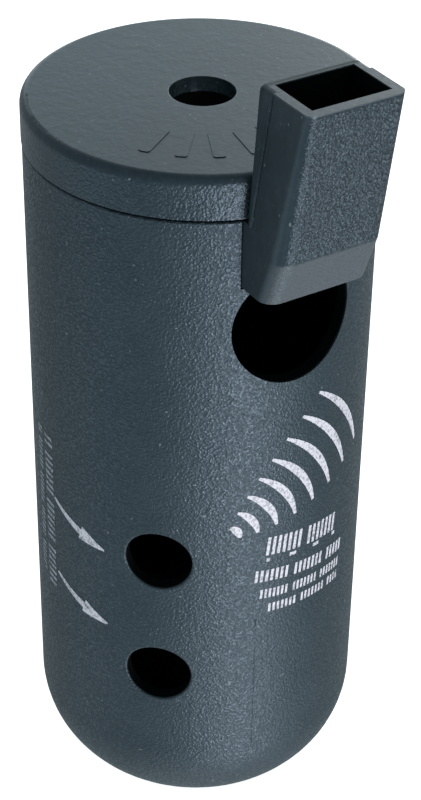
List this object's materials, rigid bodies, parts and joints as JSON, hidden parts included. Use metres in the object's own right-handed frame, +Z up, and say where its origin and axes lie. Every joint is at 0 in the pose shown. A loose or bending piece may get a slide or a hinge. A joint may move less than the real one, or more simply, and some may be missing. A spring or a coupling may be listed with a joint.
{
  "type": "owl hooter flute",
  "caption": "Hand-held hooting flute: round closed barrel with sound hole and finger holes, and a pull-off end cap that carries a side mouthpiece.",
  "frame": {"origin": "centre of the flat disc that the closed end stands on", "axes": "+Z up along the barrel to the cap, -Y towards the mouthpiece and the sound hole, +X to their right seen from outside"},
  "size_m": [0.05, 0.061, 0.1303],
  "materials": {
    "barrel_plastic": "charcoal blue-grey, fine spark-eroded grain, low sheen",
    "cap_plastic": "charcoal blue-grey, smooth top with a soft sheen, fine grain on the skirt",
    "mouthpiece_plastic": "charcoal blue-grey, coarse grain on the front, smooth sides and rim"
  },
  "bodies": {
    "barrel": {"barrel": "barrel_plastic"},
    "cap": {"end_cap": "cap_plastic", "mouthpiece_shell": "mouthpiece_plastic", "mouthpiece_back": "mouthpiece_plastic", "windway_block": "mouthpiece_plastic"}
  },
  "joints": [
    {"name": "cap_pull", "type": "slide", "parent": "barrel", "child": "cap", "axis": [0, 0, 1], "range_m": [0, 0.02]}
  ]
}
